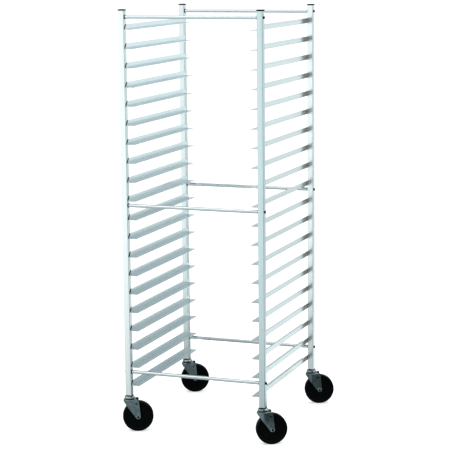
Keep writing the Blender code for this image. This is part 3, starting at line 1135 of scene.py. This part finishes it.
@dataclass(frozen=True)
class Caster:
    """One swivel caster: races, kingpin, pressed fork, axle bolt and nut, bush and wheel.

    Its shapes are made about the kingpin's axis, trailing towards +X, with the axle along Y.
    """

    corner: Corner
    trail: float = 0.034
    plate: float = 0.003
    crown_top: float = 0.1359
    crown_radius: float = 0.0255
    front_steps: int = 9
    drops: tuple[float, ...] = (0.0, 0.010, 0.018, 0.028, 0.040, 0.054, 0.068)
    rim_round: float = 0.004
    leg_half_width: float = 0.0212
    leg_bottom: float = 0.050
    leg_rear: float = 0.046
    flare_end: float = 0.66
    crease: float = 0.0175
    crease_lean: float = 0.0085
    crease_soft: float = 0.0012
    end_radius: float = 0.010
    brow: tuple[Span, ...] = ((-0.03, 0.1394), (-0.0275, 0.131), (-0.0205, 0.121), (0.036, 0.1394))
    lug_half_width: float = 0.0045
    lug_rise: float = 0.007
    plate_back: float = 0.028
    stop_hole_radius: float = 0.0036
    stop_hole: Span = (0.027, 0.1175)
    kingpin_radius: float = 0.0055
    kingpin_head_radius: float = 0.009
    race_bottom: float = 0.1399
    race_top: float = 0.1494
    race_radius: float = 0.021
    lower_race_radius: float = 0.0178
    axle_radius: float = 0.006
    nut_radius: float = 0.0085
    nut_height: float = 0.005
    hub_half_width: float = 0.0172
    bush_wall: float = 0.0018
    room: float = 0.0003
    tread_half_width: float = 0.016

    @property
    def wheel_node(self) -> str:
        """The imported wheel."""
        return f"caster_wheel_{self.corner.value}"

    @property
    def axle(self) -> Vector:
        """The middle of the wheel in the rack's frame."""
        return box_centre(self.wheel_node)

    @property
    def heading(self) -> float:
        """How far the caster is turned about Z from trailing towards +X."""
        back = self.axle - box_centre(f"post_{self.corner.value}")
        return math.atan2(back.y, back.x)

    @property
    def frame(self) -> Matrix:
        """From the caster's own frame to the rack's."""
        foot = box_centre(f"post_{self.corner.value}") * Vector((1, 1, 0))
        return Matrix.Translation(foot) @ Matrix.Rotation(self.heading, 4, "Z")

    def outline(self, drop: float) -> list[Vector]:
        """The horn's outline in plan, once round from the middle of its back.

        Args:
            drop: How far below the crown's top.

        Returns:
            The outline's points: back, side plate, flared facet and round front, then mirrored.
        """
        share = drop / (self.crown_top - self.leg_bottom)
        half, soft = self.leg_half_width, self.crease_soft
        flank = half + (self.crown_radius - half) * (1 - share / self.flare_end)
        fold = self.crease + share * self.crease_lean
        heel, brow = Vector((self.leg_rear, half)), Vector((0, flank))
        plate_end = Vector((fold + soft, half))
        facet_start = Vector((fold - soft, half + soft * (flank - half) / fold))
        points = [Vector((self.leg_rear, half * step / 3)) for step in range(3)]
        points += [heel.lerp(plate_end, step / 3) for step in range(4)]
        points += [facet_start.lerp(brow, step / 3) for step in range(4)]
        for step in range(1, self.front_steps + 1):
            turn = HALF_PI * step / self.front_steps
            points.append(Vector((-self.crown_radius * math.sin(turn), flank * math.cos(turn))))
        return points + [Vector((p.x, -p.y)) for p in reversed(points[1:-1])]

    def horn(self) -> BMesh:
        """The pressed fork: a round crown, a hood in front and a flared leg on each side.

        Returns:
            One closed shell of even thickness, with its holes, notch and stop lug.
        """
        drops = [*self.drops, self.crown_top - self.leg_bottom]
        columns, rows = len(self.outline(0)), len(drops) - 1
        bm = bmesh.new()
        bmesh.ops.create_grid(bm, x_segments=columns, y_segments=rows, size=1)
        for v in bm.verts:
            drop = drops[round((v.co.y + 1) / 2 * rows)]
            flat = self.outline(drop)[round((v.co.x + 1) / 2 * columns) % columns]
            v.co = Vector((flat.x, flat.y, self.crown_top - drop))
        bmesh.ops.remove_doubles(bm, verts=bm.verts, dist=MERGE)
        bmesh.ops.edgeloop_fill(bm, edges=edges_above(bm, self.crown_top - MERGE))
        rear_wall = [
            f for f in bm.faces
            if all(v.co.x > self.leg_rear - MERGE for v in f.verts)
            and any(v.co.z < self.crown_top - drops[1] - MERGE for v in f.verts)
        ]
        bmesh.ops.delete(bm, geom=rear_wall, context="FACES")
        bmesh.ops.recalc_face_normals(bm, faces=bm.faces)
        crown = max(bm.faces, key=lambda f: f.calc_center_median().z)
        if crown.normal.z < 0:
            bmesh.ops.reverse_faces(bm, faces=bm.faces)
        round_edges(bm, crown.edges, self.rim_round, 4)
        bmesh.ops.solidify(bm, geom=bm.faces[:], thickness=self.plate)
        wide, side = 2 * self.leg_half_width, self.leg_half_width - self.plate - self.room
        low, high = (self.plate_back, -side, self.race_top - wide), (wide, side, self.race_top)
        foot, top = (0, 0, self.leg_bottom), (0, 0, self.race_top)
        cuts = [block(low, high)]
        for radius, (x, z), sides in (
            (self.stop_hole_radius, self.stop_hole, 20),
            (self.axle_radius + self.room, (self.trail, self.axle.z), 24),
        ):
            cuts.append(bar(radius, (x, -wide, z), (x, wide, z), sides))
        cuts.append(bar(self.kingpin_radius + self.room, foot, top, 32))
        steps = [(Cut.KEEP, self.side_view()), *((Cut.AWAY, cut) for cut in cuts)]
        return worked(bm, [*steps, (Cut.JOIN, self.lug())])

    def side_view(self) -> BMesh:
        """A prism across the caster with the horn's outline as seen from its side.

        Returns:
            The prism, which the horn is trimmed to.
        """
        reach, (x, z) = 0.03, (self.trail, self.axle.z)
        bm = bar(self.end_radius, (x, -reach, z), (x, reach, z), 40)
        bmesh.ops.delete(bm, geom=bm.edges[:] + bm.faces[:], context="EDGES_FACES")
        for x, z in self.brow:
            for y in (-reach, reach):
                bm.verts.new((x, y, z))
        bmesh.ops.convex_hull(bm, input=bm.verts)
        spare = [v for v in bm.verts if not v.link_faces]
        bmesh.ops.delete(bm, geom=spare, context="VERTS")
        bmesh.ops.recalc_face_normals(bm, faces=bm.faces)
        return bm

    def lug(self) -> BMesh:
        """The upright stop lug at the back of the crown."""
        half, top = self.lug_half_width, self.crown_top + self.lug_rise
        low = (self.plate_back - self.plate, -half, self.crown_top - self.plate / 2)
        bm = block(low, (self.plate_back, half, top))
        round_edges(bm, edges_above(bm, top - 0.001), 0.0012, 3)
        return bm

    def upper_race(self) -> BMesh:
        """The fixed cup under the post: a rolled skirt over the balls.

        Returns:
            The cup about the kingpin's axis.
        """
        bottom, top, radius = self.race_bottom, self.race_top, self.race_radius
        # From the bore along the underside, down and up the skirt, and back along the top.
        return turned(
            [
                (self.kingpin_radius - 0.0005, top - 0.0030), (0.0155, top - 0.0030),
                (0.0185, top - 0.0045), (radius - 0.0018, bottom + 0.0010),
                (radius - 0.0016, bottom), (radius - 0.0006, bottom), (radius, bottom + 0.0007),
                (radius, top - 0.0044), (radius - 0.0007, top - 0.0028),
                (radius - 0.0022, top - 0.0018), (0.0165, top - 0.0014), (0.0150, top - 0.0006),
                (0.0138, top), (self.kingpin_radius - 0.0005, top),
            ],
            64,
            closed=True,
        )

    def lower_race(self) -> BMesh:
        """The raised ball track that is riveted to the crown.

        Returns:
            The track about the kingpin's axis.
        """
        base, radius = self.crown_top - 0.0002, self.lower_race_radius
        # Along the base, up the rim, down into the groove for the balls and up to the bore.
        return turned(
            [
                (self.kingpin_radius + 0.0008, base), (radius, base), (radius, base + 0.0034),
                (radius - 0.0010, base + 0.0046), (radius - 0.0026, base + 0.0050),
                (radius - 0.0040, base + 0.0036), (radius - 0.0058, base + 0.0030),
                (radius - 0.0080, base + 0.0040), (self.kingpin_radius + 0.0008, base + 0.0040),
            ],
            64,
            closed=True,
        )

    def kingpin(self) -> BMesh:
        """The kingpin, with its riveted head under the crown.

        Returns:
            The kingpin about its own axis.
        """
        top, under = self.race_top - 0.001, self.crown_top - self.plate - 0.001
        radius, head = self.kingpin_radius, self.kingpin_head_radius
        rivet = [
            (0, under - 0.0030), (head * 0.55, under - 0.0030), (head * 0.9, under - 0.0018),
            (head, under - 0.0004), (head, under),
        ]
        return turned([*rivet, (radius, under), (radius, top), (0, top)], 32)

    def nut(self, height: float) -> BMesh:
        """A hexagon about Z standing on z = 0, with a pressed washer face and chamfered corners.

        Args:
            height: Its height.

        Returns:
            The hexagon.
        """
        radius = self.nut_radius
        hexagon = bar(radius, (0, 0, 0.0004), (0, 0, height), 6)
        barrel = turned(
            [
                (0, 0), (radius * 0.98, 0), (radius * 0.98, 0.0006), (radius * 1.02, 0.0010),
                (radius * 1.02, height - 0.0012), (radius * 0.86, height), (0, height),
            ],
            48,
        )
        face = bar(radius * 0.98, (0, 0, 0), (0, 0, 0.0008), 48)
        return worked(hexagon, [(Cut.KEEP, barrel), (Cut.JOIN, face)])

    def axle_bolt(self) -> BMesh:
        """The axle bolt along Y: hexagon head on +Y, its chamfered end past the nut on -Y.

        Returns:
            The bolt, with the wheel's middle at the origin.
        """
        outer, radius = self.leg_half_width, self.axle_radius
        end = outer + self.nut_height + 0.0005
        shank = turned(
            [
                (0, -outer), (radius, -outer), (radius, end - 0.0010), (radius - 0.0014, end),
                (0.0022, end), (0.0012, end - 0.0012), (0, end - 0.0014),
            ],
            32,
        )
        under = Matrix.Translation((0, 0, -outer)) @ Matrix.Rotation(math.pi, 4, "X")
        head = moved(self.nut(self.nut_height), under)
        return moved(worked(shank, [(Cut.JOIN, head)]), ONTO_Y)

    def tyre(self, radius: float) -> BMesh:
        """The solid wheel about Y: crowned tread, recessed web, stiffening ring and hub.

        Args:
            radius: The tread's radius at its middle.

        Returns:
            The wheel, with its middle at the origin.
        """
        tread, hub = self.tread_half_width, self.hub_half_width
        bore = self.axle_radius + self.room + self.bush_wall + 0.0001
        # From the bore over the hub's face, across the web and up its rim, round to the tread.
        half = [
            (bore, hub - 0.0003), (0.0132, hub - 0.0003), (0.0150, hub - 0.0012), (0.0164, 0.0122),
            (0.0185, 0.0112), (0.0475, 0.0118), (0.0500, 0.0126), (0.0522, 0.0150),
            (0.0540, tread - 0.0001), (0.0585, tread), (0.0606, tread - 0.0005),
            (0.0622, tread - 0.0019), (radius - 0.0004, tread - 0.0040),
            (radius - 0.0001, tread - 0.0080), (radius, 0.0),
        ]
        section = half + [(r, -h) for r, h in reversed(half[:-1])]
        return moved(turned(section, 112, closed=True), ONTO_Y)

    def bush(self) -> BMesh:
        """The steel bush in the wheel's hub, along Y.

        Returns:
            The bush, with its middle at the origin.
        """
        inner, half = self.axle_radius + self.room, self.hub_half_width
        outer = inner + self.bush_wall
        section = [(inner, -half), (outer, -half), (outer, half), (inner, half)]
        return moved(softened(turned(section, 32, closed=True), self.room), ONTO_Y)

    def build(self) -> None:
        """Makes the caster's pieces in their places."""
        at, name, axle = self.frame, self.corner.value, self.axle
        to_axle = at @ Matrix.Translation((self.trail, 0, axle.z))
        to_nut = to_axle @ Matrix.Translation((0, -self.leg_half_width, 0)) @ ONTO_Y
        bore = bar(self.axle_radius - 0.0012, (0, 0, -0.01), (0, 0, 0.01), 32)
        nut = worked(self.nut(self.nut_height), [(Cut.AWAY, bore)])
        rubber = WheelRubber(
            f"wheel_rubber_{name}", Slot.RUBBER, RUBBER_DARK, RUBBER_DUST, (0.42, 0.62),
            centre=tuple(axle), turn=self.heading,
        )
        fork, wheel = f"caster_{name}", f"wheel_{name}"
        for label, shape, place, finish, body, stands_for in (
            (f"horn_{name}", self.horn(), at, FORK_METAL, fork, [f"caster_fork_{name}"]),
            # The lower race is near-black: painted shadow in the groove under the cup.
            (f"lower_race_{name}", self.lower_race(), at, PAINTED_SHADOW_STEEL, fork, []),
            (f"axle_bolt_{name}", self.axle_bolt(), to_axle, BOLT_BLACK, fork, []),
            (f"axle_nut_{name}", nut, to_nut, RACE_METAL, fork, []),
            (f"upper_race_{name}", self.upper_race(), at, RACE_METAL, RACK, []),
            (f"kingpin_{name}", self.kingpin(), at, RACE_METAL, RACK, []),
            (f"wheel_{name}_solid", self.tyre(axle.z), to_axle, rubber, wheel, [self.wheel_node]),
            (f"hub_bush_{name}", self.bush(), to_axle, BUSH_METAL, wheel, []),
        ):
            piece(label, moved(shape, place), finish, body, stands_for)


# The studio


@dataclass(frozen=True)
class Softbox:
    """A square soft light that faces a point."""

    name: str
    place: Colour
    target: Colour
    size: float
    power: float
    colour: Colour = (1.0, 1.0, 1.0)

    def build(self) -> None:
        """Adds the light."""
        data = bpy.data.lights.new(self.name, "AREA")
        data.shape, data.size = "SQUARE", self.size
        data.energy, data.color = self.power, self.colour
        light = bpy.data.objects.new(self.name, data)
        light.location = self.place
        way = Vector(self.target) - Vector(self.place)
        light.rotation_euler = way.to_track_quat("-Z", "Y").to_euler()
        bpy.context.scene.collection.objects.link(light)


@dataclass(frozen=True)
class Studio:
    """A plain pale floor, soft light all round and the camera."""

    floor_radius: float = 90.0
    horizon: Colour = (1.04, 1.10, 1.11)
    low_sky: Colour = (0.44, 0.49, 0.50)
    high_sky: Colour = (1.15, 1.18, 1.18)
    low_rise: Span = (0.05, 0.27)
    high_rise: Span = (0.40, 0.80)
    darkness: float = 0.8
    camera_place: Colour = (2.3352, -6.2358, 1.9490)
    camera_yaw: float = math.radians(-20.69)
    camera_pitch: float = math.radians(-9.62)
    camera_roll: float = math.radians(-0.59)
    lens: float = 130.12
    sensor: float = 36.0
    lights: tuple[Softbox, ...] = (
        Softbox("key", (-3.6, -4.6, 5.6), (0, 0, 0.9), 4.5, 75.0),
        Softbox("fill", (4.5, -1.0, 5.0), (0, 0, 0.9), 4.0, 35.0, colour=(0.94, 0.98, 1.0)),
        Softbox("back", (0.5, 4.6, 5.6), (0, 0, 0.8), 4.5, 50.0),
    )

    def floor(self) -> None:
        """Adds the floor, which isn't part of the rack."""
        bm = bmesh.new()
        bmesh.ops.create_circle(bm, cap_ends=True, segments=96, radius=self.floor_radius)
        mesh = bpy.data.meshes.new("studio_floor")
        bm.to_mesh(mesh)
        bm.free()
        mesh.materials.append(FLOOR.material())
        floor = bpy.data.objects.new("studio_floor", mesh)
        bpy.context.scene.collection.objects.link(floor)

    def surroundings(self) -> None:
        """Lights the scene from all round: bright low down and overhead, with one dark side."""
        world = bpy.data.worlds.new("studio")
        world.use_nodes = True
        bpy.context.scene.world = world
        w = Wiring(world.node_tree)
        way = w.node("TexCoord").outputs["Generated"]
        height = w.axis(way, "Z")
        sky = w.blend(w.spread(height, self.low_rise, (0, 1)), self.horizon, self.low_sky)
        along = w.vector("DOT_PRODUCT", way, DARK_WAY)
        sky = w.blend(w.spread(along, DARK_EDGE, (0, self.darkness)), sky, BLACK)
        sky = w.blend(w.spread(height, self.high_rise, (0, 1)), sky, self.high_sky)
        direct = w.node("LightPath").outputs["Is Camera Ray"]
        sky = w.blend(direct, sky, (1.0, 1.0, 1.0))
        w.feed(world.node_tree.nodes["Background"], {"Color": sky})

    def camera(self) -> None:
        """Adds the camera and makes it the scene's."""
        level = Matrix.Rotation(-self.camera_yaw, 3, "Z") @ Matrix.Rotation(
            HALF_PI + self.camera_pitch, 3, "X"
        )
        turn = level @ Matrix.Rotation(self.camera_roll, 3, "Z")
        data = bpy.data.cameras.new("camera")
        data.lens, data.sensor_width = self.lens, self.sensor
        data.clip_end = 4 * self.floor_radius
        camera = bpy.data.objects.new("camera", data)
        camera.matrix_world = Matrix.Translation(self.camera_place) @ turn.to_4x4()
        bpy.context.scene.collection.objects.link(camera)
        bpy.context.scene.camera = camera

    def build(self) -> None:
        """Makes the studio."""
        self.floor()
        self.surroundings()
        self.camera()
        for light in self.lights:
            light.build()
        bpy.context.scene.view_settings.view_transform = "Standard"


def main() -> None:
    """Builds the rack and the studio."""
    logging.basicConfig(level=logging.INFO, format="%(message)s")
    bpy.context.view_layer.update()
    posts = {corner: Post(corner) for corner in Corner}
    for post in posts.values():
        post.build()
    Runners().build()
    for level in ("top", "middle", "bottom"):
        for end, left, right in (
            ("front", Corner.FRONT_LEFT, Corner.FRONT_RIGHT),
            ("rear", Corner.REAR_LEFT, Corner.REAR_RIGHT),
        ):
            SpreaderRod(level, end).build(posts[left], posts[right])
    for corner in Corner:
        Caster(corner).build()
    Studio().build()


if __name__ == "__main__":
    main()
